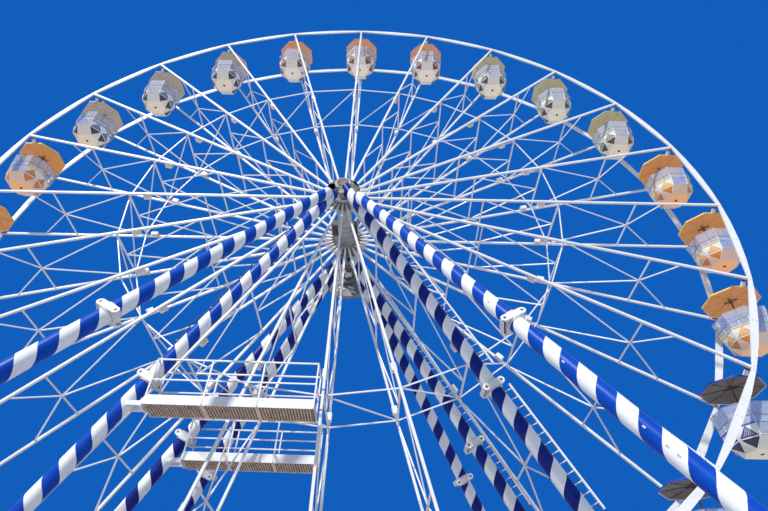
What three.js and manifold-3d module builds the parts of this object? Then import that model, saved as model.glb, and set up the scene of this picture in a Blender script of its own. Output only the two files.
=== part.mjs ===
// Ferris wheel, 24 open gondolas, 34.8 m high. Millimetres, +Z up, ground at z = 0,
// wheel plane y = 0, turning about the Y axis through the hub.
import * as THREE from 'three';
import { mergeVertices } from 'three/addons/utils/BufferGeometryUtils.js';
import { ConvexGeometry } from 'three/addons/geometries/ConvexGeometry.js';
import Module from 'manifold-3d';

const wasm = await Module();
wasm.setup();

// Driving dimensions
const HUB_Z = 18810;
const STATIONS = 24;
const RIM_R = 15985;
const RIM_IN_R = 15860;
const RIM_MID_R = 15725;
const RIM_Y = 1278;
const RIM_T = 72;
const SPOKE_W = 84;
const SPOKE_IN_R = 760;
const SPOKE_SPLICE_R = 15500;
const WEB_R = [12425, 9170, 5950, 2900];
const RING_R = 9170;
const RING_Y = 1114;
const BAR_W = 50;
const RING_BAR_W = 56;
const RING_TIE_W = 42;
const ARM_W = 40;
const PIVOT_R = 15790;
const BRACKET_W = 110;
const HUB_END_Y = 1740;
const HEAD_Y = 1770;
const RING_STUB_Y = 2450;
const LEG_D = 440;
const LEG_Y = 2018;
const LEG_X_SLOPE = 0.55;
const LEG_Y_SLOPE = 0.355;
const LEG_START = 1620;
const CLAMP_Z = 9550;
const BASE_TOP = 420;
const GAP = 0.3;
const BRACKET_Y = RIM_Y - SPOKE_W / 2 + 1 - BRACKET_W;

// Shape helpers
const V = (x, y, z) => new THREE.Vector3(x, y, z);
const rad = (d) => d * Math.PI / 180;
const stationAngle = (k) => rad(165 - 15 * k);

function toManifold(geometry) {
  let g = geometry.clone();
  for (const name of Object.keys(g.attributes)) if (name !== 'position') g.deleteAttribute(name);
  g.morphAttributes = {};
  g = mergeVertices(g, 1e-3);
  const mesh = new wasm.Mesh({
    numProp: 3,
    vertProperties: new Float32Array(g.attributes.position.array),
    triVerts: new Uint32Array(g.index.array),
  });
  mesh.merge();
  return new wasm.Manifold(mesh);
}

function toGeometry(manifold) {
  const m = manifold.getMesh();
  const g = new THREE.BufferGeometry();
  g.setAttribute('position', new THREE.BufferAttribute(new Float32Array(m.vertProperties), 3));
  g.setIndex(new THREE.BufferAttribute(new Uint32Array(m.triVerts), 1));
  return g;
}

function union(list) {
  let out = null;
  for (const s of list) out = out ? out.add(s) : s;
  return out;
}

// The same solid with the corners that lie closer than d merged
function welded(manifold, d) {
  const m = manifold.getMesh();
  const p = m.vertProperties;
  const to = [...Array(p.length / 3).keys()];
  const find = (i) => (to[i] === i ? i : find(to[i]));
  const tri = [];
  for (let i = 0; i < m.triVerts.length; i += 3) tri.push([...m.triVerts.slice(i, i + 3)]);
  for (const t of tri) {
    for (let e = 0; e < 3; e++) {
      const [a, b] = [t[e] * 3, t[(e + 1) % 3] * 3];
      const length = Math.hypot(p[a] - p[b], p[a + 1] - p[b + 1], p[a + 2] - p[b + 2]);
      if (length < d) to[find(t[e])] = find(t[(e + 1) % 3]);
    }
  }
  const kept = tri.map((t) => t.map(find)).filter(([a, b, c]) => a !== b && b !== c && a !== c);
  const mesh = new wasm.Mesh({ numProp: 3, vertProperties: p, triVerts: new Uint32Array(kept.flat()) });
  mesh.merge();
  return new wasm.Manifold(mesh);
}

// Straight member from a to b: w wide, sides = number of sides, face turned to side
function bar(a, b, w, sides = 4, spin = 0) {
  const d = b.clone().sub(a);
  const len = d.length();
  const r = w / 2 / Math.cos(Math.PI / sides);
  const g = new THREE.CylinderGeometry(r, r, len, sides, 1, false, Math.PI / sides + spin);
  g.translate(0, len / 2, 0);
  const z = Math.abs(d.clone().normalize().y) > 0.9 ? V(0, 0, 1) : V(0, 1, 0);
  const yAxis = d.normalize();
  const xAxis = yAxis.clone().cross(z).normalize();
  const zAxis = xAxis.clone().cross(yAxis).normalize();
  const m = new THREE.Matrix4().makeBasis(xAxis, yAxis, zAxis);
  g.applyMatrix4(m);
  g.translate(a.x, a.y, a.z);
  return toManifold(g);
}

function box(x0, x1, y0, y1, z0, z1) {
  const g = new THREE.BoxGeometry(x1 - x0, y1 - y0, z1 - z0);
  g.translate((x0 + x1) / 2, (y0 + y1) / 2, (z0 + z1) / 2);
  return toManifold(g);
}

// Ring or disc turned about the Y axis: points are [radius, y]
function turned(points, sides, spin = 0) {
  const g = new THREE.LatheGeometry(points.map((p) => new THREE.Vector2(p[0], p[1])), sides, spin);
  return toManifold(g);
}

const hull = (points) => toManifold(new ConvexGeometry(points));
const polar = (r, a, y) => V(r * Math.cos(a), y, HUB_Z + r * Math.sin(a));

const group = new THREE.Group();
group.name = 'ferris_wheel';

function node(name, manifold, color, opt = {}) {
  const mat = new THREE.MeshStandardMaterial({ color, roughness: 0.5, metalness: 0.1, ...opt });
  mat.name = name;
  const mesh = new THREE.Mesh(toGeometry(manifold), mat);
  mesh.name = name;
  group.add(mesh);
}

const WHITE = 0xf2f2ee;
const BLUE = 0x2a4fc4;
const GREY = 0x8a8d8f;
const DARK = 0x2c2d30;

// Rims: each in two halves of twelve stations, joined at mid-segment, with the spokes' end
// stubs and the gondolas' bearing brackets. Outer edge a true circle; each segment narrow at
// its stations and deepest halfway.
function rimHalf(side, h) {
  const y0 = side * RIM_Y - RIM_T / 2;
  const outer = [];
  const inner = [];
  const first = 12 * h;
  const half = rad(7.5);
  const trim = 0.4 / RIM_R;
  const a0 = stationAngle(first) + half - trim;
  const a1 = stationAngle(first + 11) - half + trim;
  const n = 48;
  for (let i = 0; i <= n; i++) {
    const a = a0 + (a1 - a0) * i / n;
    outer.push([RIM_R * Math.cos(a), RIM_R * Math.sin(a)]);
  }
  inner.push([RIM_MID_R * Math.cos(a1), RIM_MID_R * Math.sin(a1)]);
  for (let k = first + 11; k >= first; k--) {
    const a = stationAngle(k);
    inner.push([RIM_IN_R * Math.cos(a), RIM_IN_R * Math.sin(a)]);
    const b = k > first ? a + half : a0;
    inner.push([RIM_MID_R * Math.cos(b), RIM_MID_R * Math.sin(b)]);
  }
  const shape = new THREE.Shape(outer.concat(inner).map((p) => new THREE.Vector2(p[0], p[1])));
  const g = new THREE.ExtrudeGeometry(shape, { depth: RIM_T, bevelEnabled: false });
  g.rotateX(Math.PI / 2);
  g.translate(0, y0 + RIM_T, HUB_Z);
  const parts = [toManifold(g)];
  for (let k = first; k < first + 12; k++) {
    const a = stationAngle(k);
    const from = polar(SPOKE_SPLICE_R + GAP, a, side * RIM_Y);
    parts.push(bar(from, polar(RIM_IN_R + 60, a, side * RIM_Y), SPOKE_W));
    const y = side * (BRACKET_Y + BRACKET_W / 2);
    parts.push(bar(polar(PIVOT_R - 95, a, y), polar(PIVOT_R + 95, a, y), BRACKET_W));
  }
  return union(parts);
}

for (let h = 0; h < 2; h++) {
  node(`rim_front_${h + 1}`, rimHalf(-1, h), WHITE);
  node(`rim_back_${h + 1}`, rimHalf(1, h), WHITE);
}

// Spoke frames: four quarters of six stations. At each station a front and a back spoke joined
// by four cross bars, with braces from the middle of each bar to the spokes. At the second bar
// two ring ties and one diagonal run on to the next station.
function spokeQuarter(q) {
  const parts = [];
  for (let i = 0; i < 6; i++) {
    const a = stationAngle(6 * q + i);
    const next = stationAngle(6 * q + i + 1);
    for (const s of [-1, 1]) {
      parts.push(bar(polar(SPOKE_IN_R, a, s * RIM_Y), polar(SPOKE_SPLICE_R, a, s * RIM_Y), SPOKE_W));
      const w = ARM_W + 3 * s;
      parts.push(bar(polar(WEB_R[0], a, 0), polar(s < 0 ? 13550 : 13900, a, s * RIM_Y), w));
      WEB_R.slice(0, 3).forEach((r, j) => {
        parts.push(bar(polar(r, a, 0), polar(WEB_R[j + 1], a, s * RIM_Y), w));
      });
      const end = polar(RING_R, next, s * RING_Y);
      const start = polar(RING_R, a, s * RING_Y);
      const back = start.clone().sub(end).normalize();
      if (i === 5) end.addScaledVector(back, RING_BAR_W / 2 + 6);
      parts.push(bar(start, end, RING_TIE_W));
    }
    WEB_R.forEach((r, j) => {
      parts.push(bar(polar(r, a, -RIM_Y), polar(r, a, RIM_Y), j === 1 ? RING_BAR_W : BAR_W, 4, -a));
    });
    const from = polar(RING_R, a, RING_Y);
    const to = polar(RING_R, next, -RING_Y);
    if (i === 5) to.addScaledVector(from.clone().sub(to).normalize(), RING_BAR_W / 2 + 38);
    parts.push(bar(from, to, ARM_W));
  }
  return welded(union(parts).simplify(0.05), 0.5);
}

for (let q = 0; q < 4; q++) node(`spoke_frame_${q + 1}`, spokeQuarter(q), WHITE);

// Hub: barrel widening to a spoke flange and a bolted end ring each side, round the fixed axle
{
  const f = (SPOKE_IN_R - GAP) / Math.cos(rad(7.5));
  const right = [[300, 700], [560, 1215], [f, 1215], [f, 1360], [480, 1360], [590, 1640], [700, 1660],
    [700, HUB_END_Y], [200, HUB_END_Y]];
  const left = right.map((p) => [p[0], -p[1]]).reverse();
  node('hub', turned([...left, ...right, left[0]], 24, rad(7.5)).translate([0, 0, HUB_Z]), 0x9a9184);
}

// Fixed axle between the two leg heads, with a thrust collar at each end of the hub
{
  const c = HUB_END_Y + GAP;
  const right = [[190, c], [300, c], [300, HEAD_Y], [0, HEAD_Y]];
  const left = right.map((p) => [p[0], -p[1]]).reverse();
  node('axle', turned([...left, ...right], 16).translate([0, 0, HUB_Z]), GREY);
}

// Legs: four a side, two upright in the head's plane and two splayed outward
const legDir = (sx, sy, outer) => V(sx * LEG_X_SLOPE, outer ? sy * LEG_Y_SLOPE : 0, -1);
const apex = (sy) => V(0, sy * LEG_Y, HUB_Z);

// Leg head: bearing block at the axle's end, with the joined upper ends of the four tubes;
// the back one carries a stub for the slip rings
function legHead(sy) {
  const t = 2100 - HEAD_Y - GAP;
  const block = turned([[0, 0], [330, 0], [330, t], [0, t]], 16);
  const parts = [block.translate([0, sy > 0 ? 2100 - t : -2100, HUB_Z])];
  if (sy > 0) {
    const stub = turned([[0, 1810], [140, 1810], [140, RING_STUB_Y], [0, RING_STUB_Y]], 12);
    parts.push(stub.translate([0, 0, HUB_Z]));
  }
  for (const sx of [-1, 1]) {
    for (const outer of [false, true]) {
      const d = legDir(sx, sy, outer).normalize();
      const top = apex(sy).addScaledVector(d, outer ? 700 : 100);
      parts.push(bar(top, apex(sy).addScaledVector(d, LEG_START - GAP), LEG_D, 8));
    }
  }
  return union(parts);
}

node('leg_head_front', legHead(-1), WHITE);
node('leg_head_back', legHead(1), WHITE);

// Slip-ring unit on the back head: ring housing in line with the axle, flange and round cover
{
  const profile = [[0, 0], [210, 0], [210, 520], [270, 560], [270, 1290], [430, 1290], [430, 1450],
    [330, 1470], [330, 1540], [1150, 1540], [1150, 1740], [0, 1740]];
  node('slip_ring_unit', turned(profile, 24).translate([0, RING_STUB_Y + GAP, HUB_Z]), GREY);
}

function leg(sx, sy, outer) {
  const d = legDir(sx, sy, outer);
  const u = d.clone().normalize();
  const a = apex(sy).addScaledVector(u, LEG_START);
  const b = apex(sy).addScaledVector(d, HUB_Z - BASE_TOP + 600);
  const tube = bar(a, b, LEG_D, 8).trimByPlane([0, 0, 1], BASE_TOP + GAP);
  const c = apex(sy).addScaledVector(d, HUB_Z - CLAMP_Z);
  const e1 = V(0, 1, 0).addScaledVector(u, -u.y).normalize();
  const e2 = u.clone().cross(e1);
  const corners = [];
  for (const p of [-150, 150]) for (const q of [-260, 260]) for (const r of [-370, 370]) {
    corners.push(c.clone().addScaledVector(u, p).addScaledVector(e1, q).addScaledVector(e2, r));
  }
  return tube.add(hull(corners));
}

for (const [sy, side] of [[-1, 'front'], [1, 'back']]) {
  for (const [sx, hand] of [[-1, 'left'], [1, 'right']]) {
    node(`leg_${side}_${hand}_inner`, leg(sx, sy, false), BLUE);
    node(`leg_${side}_${hand}_outer`, leg(sx, sy, true), BLUE);
  }
}

// Base: a beam on pads under each side's feet and two ties under the wheel
const FOOT_X = LEG_X_SLOPE * (HUB_Z - BASE_TOP);
const FOOT_Y = LEG_Y + LEG_Y_SLOPE * (HUB_Z - BASE_TOP);
for (const [sx, hand] of [[-1, 'left'], [1, 'right']]) {
  const parts = [box(sx * FOOT_X - 420, sx * FOOT_X + 420, -FOOT_Y - 600, FOOT_Y + 600, 80, BASE_TOP)];
  for (const y of [-FOOT_Y, -LEG_Y, LEG_Y, FOOT_Y]) {
    parts.push(box(sx * FOOT_X - 400, sx * FOOT_X + 400, y - 500, y + 500, 0, 80.5));
  }
  node(`base_beam_${hand}`, union(parts), GREY);
}
for (const [sy, side] of [[-1, 'front'], [1, 'back']]) {
  const x = FOOT_X - 420 - GAP;
  const parts = [box(-x, x, sy * LEG_Y - 150, sy * LEG_Y + 150, 80, 380)];
  for (const px of [-5200, 0, 5200]) {
    parts.push(box(px - 300, px + 300, sy * LEG_Y - 300, sy * LEG_Y + 300, 0, 80.5));
  }
  node(`base_tie_${side}`, union(parts), GREY);
}

// Boarding decks either side of the lowest gondola
for (const [sy, side] of [[-1, 'front'], [1, 'back']]) {
  const y0 = sy > 0 ? 1020 : -3600;
  const y1 = sy > 0 ? 3600 : -1020;
  const parts = [box(-4200, 4200, y0, y1, 580, 660)];
  for (const x of [-4000, -1400, 1400, 4000]) {
    parts.push(box(x - 60, x + 60, y0 + 40, y1 - 40, 460, 580.5));
    parts.push(box(x - 60, x + 60, sy * 3400 - 60, sy * 3400 + 60, 0, 460.5));
    parts.push(box(x - 60, x + 60, sy * LEG_Y - 60, sy * LEG_Y + 60, 380 + GAP, 460.5));
  }
  node(`boarding_deck_${side}`, union(parts), 0x9b9d9e);
}

// Work platforms beside the left legs, each fixed at its left end to the inner leg
for (const [sy, side, x0, x1] of [[-1, 'front', -4930, -220], [1, 'back', -4880, -300]]) {
  const y0 = sy > 0 ? 1550 : -2370;
  const y1 = sy > 0 ? 2370 : -1550;
  const z = 8830;
  const rail = 10085;
  const parts = [box(x0, x1, y0, y1, z - 230, z)];
  for (const y of [y0 + 25, y1 - 25]) {
    for (const x of [x0 + 40, -3350, -1790, x1 - 30]) {
      parts.push(box(x - 22, x + 22, y - 22, y + 22, z - 1, rail - 1));
    }
    parts.push(box(x0 + 18, x1 - 8, y - 22, y + 22, rail - 44, rail));
    parts.push(box(x0 + 18, x1 - 8, y - 18, y + 18, z + 540, z + 580));
  }
  const d = legDir(-1, sy, false);
  const top = apex(sy).addScaledVector(d, HUB_Z - z - 800);
  const foot = apex(sy).addScaledVector(d, HUB_Z - z + 800);
  parts.push(box(-5600, x0 + 1, sy * LEG_Y - 250, sy * LEG_Y + 250, z - 230, z)
    .subtract(bar(top, foot, LEG_D + 2 * GAP, 8)).decompose()
    .sort((p, q) => q.boundingBox().max[0] - p.boundingBox().max[0])[0]);
  node(`work_platform_${side}`, union(parts), WHITE);
}

// Friction drives: a stand each side under the rim with a tyre on the rim's outer track
const DRIVE_X = 5300;
const TYRE_R = 300;
const driveAngle = Math.asin(DRIVE_X / (RIM_R + TYRE_R + 6));
const DRIVE_Z = HUB_Z - (RIM_R + TYRE_R + 6) * Math.cos(driveAngle);
for (const [sy, side] of [[-1, 'front'], [1, 'back']]) {
  const y = sy * RIM_Y;
  const stand = union([
    box(DRIVE_X - 380, DRIVE_X + 380, sy * LEG_Y - 150, sy * LEG_Y + 150, 380 + GAP, 520),
    box(DRIVE_X - 130, DRIVE_X + 130, sy * LEG_Y - 90, sy * LEG_Y + 90, 500, DRIVE_Z + 140),
    box(DRIVE_X - 240, DRIVE_X + 240, sy * LEG_Y - 230, sy * LEG_Y + 230, DRIVE_Z - 160, DRIVE_Z + 160),
    turned([[0, -1], [60, -1], [60, 820], [0, 820]], 8)
      .rotate([sy > 0 ? 180 : 0, 0, 0]).translate([DRIVE_X, sy * (LEG_Y + 100), DRIVE_Z]),
    turned([[0, 0], [120, 0], [120, 60], [0, 60]], 8)
      .translate([DRIVE_X, sy > 0 ? RIM_Y + 110 + GAP : -RIM_Y - 170 - GAP, DRIVE_Z]),
  ]);
  node(`drive_stand_${side}`, stand, 0x3f5f8f);
  const t = turned([[68, -110], [220, -110], [270, -100], [TYRE_R, -60], [TYRE_R, 60], [270, 100],
    [220, 110], [68, 110], [68, -110]], 16).translate([DRIVE_X, y, DRIVE_Z]);
  node(`drive_tyre_${side}`, t, DARK);
}

// Gondolas: octagonal bowl with clear screens, centre column, umbrella roof and two hangers
const FLOOR_Z = -2360;
const FOLD_Z = -2065;
const BELT_Z = -1690;
const SCREEN_Z = -1022;
const ROOF_Z = -190;
function octagon(flats, z) {
  const r = flats / 2 / Math.cos(Math.PI / 8);
  return [...Array(8).keys()].map((i) => {
    const a = rad(22.5 + 45 * i);
    return V(r * Math.cos(a), r * Math.sin(a), z);
  });
}
function gondola() {
  const floor = (d, z) => [V(345 - d, 377 - d, z), V(-345 + d, 377 - d, z), V(345 - d, -377 + d, z),
    V(-345 + d, -377 + d, z), V(510 - d, 0, z), V(-510 + d, 0, z)];
  const shell = hull([...floor(0, FLOOR_Z), ...octagon(1500, FOLD_Z), ...octagon(1675, BELT_Z),
    ...octagon(1830, SCREEN_Z)]);
  const room = hull([...floor(30, FLOOR_Z + 60), ...octagon(1575, BELT_Z - 50),
    ...octagon(1765, SCREEN_Z + 20)]);
  const roof = hull([...octagon(1900, ROOF_Z), ...octagon(1920, ROOF_Z + 60), V(0, 0, 60)]);
  const under = hull([...octagon(1860, ROOF_Z - 1), V(0, 0, -60)]);
  const parts = [shell.subtract(room), roof.subtract(under)];
  parts.push(bar(V(0, 0, FLOOR_Z + 30), V(0, 0, -20), 84));
  for (const s of [-1, 1]) {
    parts.push(hull([V(-80, s * 800, -120), V(80, s * 800, -120), V(-80, s * 945, -160),
      V(80, s * 945, -160), V(-52, s * 1110, -52), V(52, s * 1110, -52), V(-52, s * 1110, 52),
      V(52, s * 1110, 52)]));
    parts.push(bar(V(0, s * 1100, 0), V(0, s * (BRACKET_Y - GAP), 0), 76));
  }
  return union(parts).simplify(0.05);
}
const FAMILY = [0xe2661a, 0x2b3f9f, 0xb3202c, 0x7c8a2c];
const cabin = gondola();
for (let k = 0; k < STATIONS; k++) {
  const a = stationAngle(k);
  const family = FAMILY[Math.floor(((k + 2) % 12) / 3)];
  node(`gondola_${String(k + 1).padStart(2, '0')}`,
    cabin.translate([PIVOT_R * Math.cos(a), 0, HUB_Z + PIVOT_R * Math.sin(a)]), family);
}

export default group;
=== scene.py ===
import math
import bmesh
import bpy
from mathutils import Matrix, Vector


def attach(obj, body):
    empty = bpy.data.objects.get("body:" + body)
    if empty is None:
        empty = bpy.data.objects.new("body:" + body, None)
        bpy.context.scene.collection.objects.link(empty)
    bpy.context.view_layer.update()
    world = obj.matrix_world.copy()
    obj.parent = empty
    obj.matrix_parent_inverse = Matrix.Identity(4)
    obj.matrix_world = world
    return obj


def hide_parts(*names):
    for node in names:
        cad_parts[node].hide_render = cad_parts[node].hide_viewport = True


# Transportable ferris wheel with 24 open gondolas. Metres, the ground at z = 0, the wheel turning
# about the Y axis 18.81 m up, -Y towards the camera.
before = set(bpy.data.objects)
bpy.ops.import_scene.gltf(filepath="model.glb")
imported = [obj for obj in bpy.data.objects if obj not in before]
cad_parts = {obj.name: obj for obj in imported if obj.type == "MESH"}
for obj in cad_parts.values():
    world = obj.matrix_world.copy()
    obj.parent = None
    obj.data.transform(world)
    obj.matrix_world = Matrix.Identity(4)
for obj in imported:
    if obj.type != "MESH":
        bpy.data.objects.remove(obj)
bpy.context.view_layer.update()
bpy.ops.object.select_all(action="DESELECT")

# Camera: a wide lens at eye height in front of the wheel, a little right of its middle, looking up.
YAW, PITCH, ROLL = -0.00690, 0.75125, 0.02482
LENS_AT, FOCAL_PER_WIDTH, SENSOR = (1.877, -16.185, 1.570), 532.52 / 768, 36
look = Vector((math.sin(YAW) * math.cos(PITCH), math.cos(YAW) * math.cos(PITCH), math.sin(PITCH)))
side = Vector((math.cos(YAW), -math.sin(YAW), 0))
top = side.cross(look)
right = math.cos(ROLL) * side + math.sin(ROLL) * top
up = -math.sin(ROLL) * side + math.cos(ROLL) * top
camera = bpy.data.objects.new("camera", bpy.data.cameras.new("camera"))
bpy.context.scene.collection.objects.link(camera)
camera.matrix_world = Matrix.Translation(LENS_AT) @ Matrix((right, up, -look)).transposed().to_4x4()
camera.data.sensor_width = SENSOR
camera.data.lens = SENSOR * FOCAL_PER_WIDTH
camera.data.clip_end = 500
bpy.context.scene.camera = camera
bpy.context.scene.view_settings.view_transform = "Standard"

# Studio: a pale floor, one key light high on the left, and an even fill. The camera sees a
# plain blue backdrop behind the white steelwork.
key = bpy.data.objects.new("key_light", bpy.data.lights.new("key_light", "SUN"))
bpy.context.scene.collection.objects.link(key)
key.data.energy = 3.95
key.data.color = (1.0, 0.98, 0.945)
key.data.angle = math.radians(3)
key.rotation_euler = Vector((-0.38, -0.62, 0.69)).to_track_quat("Z", "Y").to_euler()
studio = bpy.data.worlds.new("studio")
bpy.context.scene.world = studio
studio.use_nodes = True
tree = studio.node_tree
fill = tree.nodes["Background"]
fill.inputs["Color"].default_value = (0.54, 0.71, 1.0, 1)
fill.inputs["Strength"].default_value = 0.50
backdrop = tree.nodes.new("ShaderNodeBackground")
backdrop.inputs["Color"].default_value = (0.006, 0.112, 0.50, 1)
seen = tree.nodes.new("ShaderNodeLightPath")
choice = tree.nodes.new("ShaderNodeMixShader")
tree.links.new(seen.outputs["Is Camera Ray"], choice.inputs["Fac"])
tree.links.new(fill.outputs["Background"], choice.inputs[1])
tree.links.new(backdrop.outputs["Background"], choice.inputs[2])
tree.links.new(choice.outputs["Shader"], tree.nodes["World Output"].inputs["Surface"])
bpy.ops.mesh.primitive_plane_add(size=700)
floor = bpy.context.object
floor.name = "floor"
floor.select_set(False)
pale = bpy.data.materials.new("floor_pale")
pale.use_nodes = True
pale.node_tree.nodes["Principled BSDF"].inputs["Base Color"].default_value = (0.54, 0.54, 0.57, 1)
pale.node_tree.nodes["Principled BSDF"].inputs["Roughness"].default_value = 0.9
floor.data.materials.append(pale)

# Base beams and ties. Galvanised box beams on packing pads lie under the feet of the legs and
# tie the two sides together; web ribs are welded on, foot plates bolted down.


def finish(name, roughness, metallic=0.0):
    """A new finish: the material, its node tree, its shader and the piece's own coordinates."""
    paint = bpy.data.materials.new(name)
    paint.use_nodes = True
    shader = paint.node_tree.nodes["Principled BSDF"]
    shader.inputs["Roughness"].default_value = roughness
    shader.inputs["Metallic"].default_value = metallic
    place = paint.node_tree.nodes.new("ShaderNodeTexCoord").outputs["Object"]
    return paint, paint.node_tree, shader, place


def ramp(tree, value, low, high):
    """The pattern stretched so that it is 0 at low and under, and 1 at high and over."""
    cut = tree.nodes.new("ShaderNodeMapRange")
    cut.inputs["From Min"].default_value = low
    cut.inputs["From Max"].default_value = high
    tree.links.new(value, cut.inputs["Value"])
    return cut.outputs["Result"]


def clouds(tree, place, scale, low, high):
    """How much of a stain shows: 0 where the cloudy pattern is under low, 1 over high."""
    noise = tree.nodes.new("ShaderNodeTexNoise")
    noise.inputs["Scale"].default_value = scale
    noise.inputs["Detail"].default_value = 5
    tree.links.new(place, noise.inputs["Vector"])
    return ramp(tree, noise.outputs["Fac"], low, high)


def over(tree, amount, under, laid):
    """The colour under with the colour laid over it by that amount."""
    mix = tree.nodes.new("ShaderNodeMix")
    mix.data_type = "RGBA"
    tree.links.new(amount, mix.inputs["Factor"])
    for socket, colour in ((mix.inputs[6], under), (mix.inputs[7], laid)):
        if isinstance(colour, tuple):
            socket.default_value = (*colour, 1)
        else:
            tree.links.new(colour, socket)
    return mix.outputs[2]


def stained(tree, place, colour, *stains):
    """The colour under cloudy stains, each given by its scale, low, high and colour."""
    for scale, low, high, stain in stains:
        colour = over(tree, clouds(tree, place, scale, low, high), colour, stain)
    return colour


def enamel(name, roughness, colour, *stains, metallic=0.0):
    """A finish of one roughness with those stains."""
    paint, tree, shader, place = finish(name, roughness, metallic)
    tree.links.new(stained(tree, place, colour, *stains), shader.inputs["Base Color"])
    return paint


def sums(tree, kind, a, b=None):
    """One arithmetic step on pattern values."""
    step = tree.nodes.new("ShaderNodeMath")
    step.operation = kind
    for socket, value in zip(step.inputs, (a, b)):
        if isinstance(value, (int, float)):
            socket.default_value = value
        elif value is not None:
            tree.links.new(value, socket)
    return step.outputs["Value"]


def bumps(tree, shader, height, strength, distance):
    """Relief on the surface from a height pattern."""
    bump = tree.nodes.new("ShaderNodeBump")
    bump.inputs["Strength"].default_value = strength
    bump.inputs["Distance"].default_value = distance
    tree.links.new(height, bump.inputs["Height"])
    tree.links.new(bump.outputs["Normal"], shader.inputs["Normal"])


def galvanised():
    """Zinc spangle under grey water marks and a little rust."""
    paint, tree, shader, place = finish("galvanised_steel", 0.5, 0.55)
    spangle = tree.nodes.new("ShaderNodeTexVoronoi")
    spangle.inputs["Scale"].default_value = 22
    tree.links.new(place, spangle.inputs["Vector"])
    colour = over(tree, spangle.outputs["Color"], (0.40, 0.41, 0.42), (0.52, 0.53, 0.54))
    colour = stained(tree, place, colour, (1.4, 0.5, 0.75, (0.27, 0.25, 0.22)),
                     (9, 0.66, 0.74, (0.20, 0.10, 0.045)))
    tree.links.new(colour, shader.inputs["Base Color"])
    tree.links.new(sums(tree, "ADD", 0.38, clouds(tree, place, 5, 0.2, 3.0)), shader.inputs["Roughness"])
    return paint


def placed(paint):
    """The new primitive with its place put into its mesh and its finish on."""
    part = bpy.context.object
    bpy.ops.object.transform_apply(location=True, rotation=True, scale=True)
    part.data.materials.append(paint)
    part.select_set(False)
    return part


def block(lo, hi, paint):
    """A rectangular part from its lowest to its highest corner."""
    lo, hi = Vector(lo), Vector(hi)
    bpy.ops.mesh.primitive_cube_add(size=1, location=(lo + hi) / 2, scale=hi - lo)
    return placed(paint)


def lump(middle, half, paint):
    """A rectangular part from its middle and its half sizes."""
    middle, half = Vector(middle), Vector(half)
    return block(middle - half, middle + half, paint)


def bar(a, b, wide, deep, paint, upward=(0, 0, 1)):
    """A straight rectangular length from a to b, deep along upward."""
    a, b = Vector(a), Vector(b)
    z = (b - a).normalized()
    x = Vector(upward).cross(z).normalized()
    turn = Matrix((x, z.cross(x), z)).transposed().to_euler()
    bpy.ops.mesh.primitive_cube_add(size=1, location=(a + b) / 2, rotation=turn,
                                    scale=(wide, deep, (b - a).length))
    return placed(paint)


def rod(a, b, radius, paint, sides=12):
    """A straight round length from a to b."""
    a, b = Vector(a), Vector(b)
    turn = (b - a).to_track_quat("Z", "Y").to_euler()
    bpy.ops.mesh.primitive_cylinder_add(vertices=sides, radius=radius, depth=(b - a).length,
                                        location=(a + b) / 2, rotation=turn)
    return placed(paint)


def plate(outline, thick, paint):
    """A flat plate cut to that outline, half its thickness on each side."""
    bpy.ops.mesh.primitive_circle_add(vertices=len(outline), fill_type="NGON")
    part = placed(paint)
    for point, at in zip(part.data.vertices, outline):
        point.co = at
    bpy.context.view_layer.objects.active = part
    bpy.ops.object.modifier_add(type="SOLIDIFY")
    part.modifiers[-1].thickness = thick
    part.modifiers[-1].offset = 0
    bpy.ops.object.modifier_apply(modifier=part.modifiers[-1].name)
    return part


def joined(name, parts, bevel=0.0, smooth=35):
    """The parts as one piece, with a small worn bevel on its edges."""
    for part in parts:
        part.select_set(True)
    bpy.context.view_layer.objects.active = parts[0]
    if len(parts) > 1:
        bpy.ops.object.join()
    piece = bpy.context.object
    piece.name = piece.data.name = name
    if bevel:
        bpy.ops.object.modifier_add(type="BEVEL")
        piece.modifiers[-1].width = bevel
        piece.modifiers[-1].segments = 1
        piece.modifiers[-1].limit_method = "ANGLE"
        piece.modifiers[-1].angle_limit = math.radians(50)
        bpy.ops.object.modifier_apply(modifier=piece.modifiers[-1].name)
    bpy.ops.object.shade_smooth_by_angle(angle=math.radians(smooth))
    piece.select_set(False)
    return piece


def moved(x, y, z):
    """The placing of a part shifted by that much."""
    return Matrix.Translation((x, y, z))


def turned(degrees, axis):
    """The placing of a part turned about that axis."""
    return Matrix.Rotation(math.radians(degrees), 4, axis)


def copied(part, places):
    """Copies of the part, each with its own mesh moved to one of those places."""
    made = []
    for where in places:
        copy = bpy.data.objects.new(part.name, part.data.copy())
        copy.data.transform(where)
        bpy.context.scene.collection.objects.link(copy)
        made.append(copy)
    bpy.data.objects.remove(part)
    return made


def fitted(piece, body, slot, *replaced):
    """Hands the piece to the body that it moves with and hides the CAD nodes that it replaces; the slot
    argument is not used.
    """
    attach(piece, body)
    if replaced:
        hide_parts(*replaced)


def painted(paint, *names):
    """Puts a finish on CAD nodes that are shown as they are."""
    for name in names:
        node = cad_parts[name]
        node.data.materials.clear()
        node.data.materials.append(paint)


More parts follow.
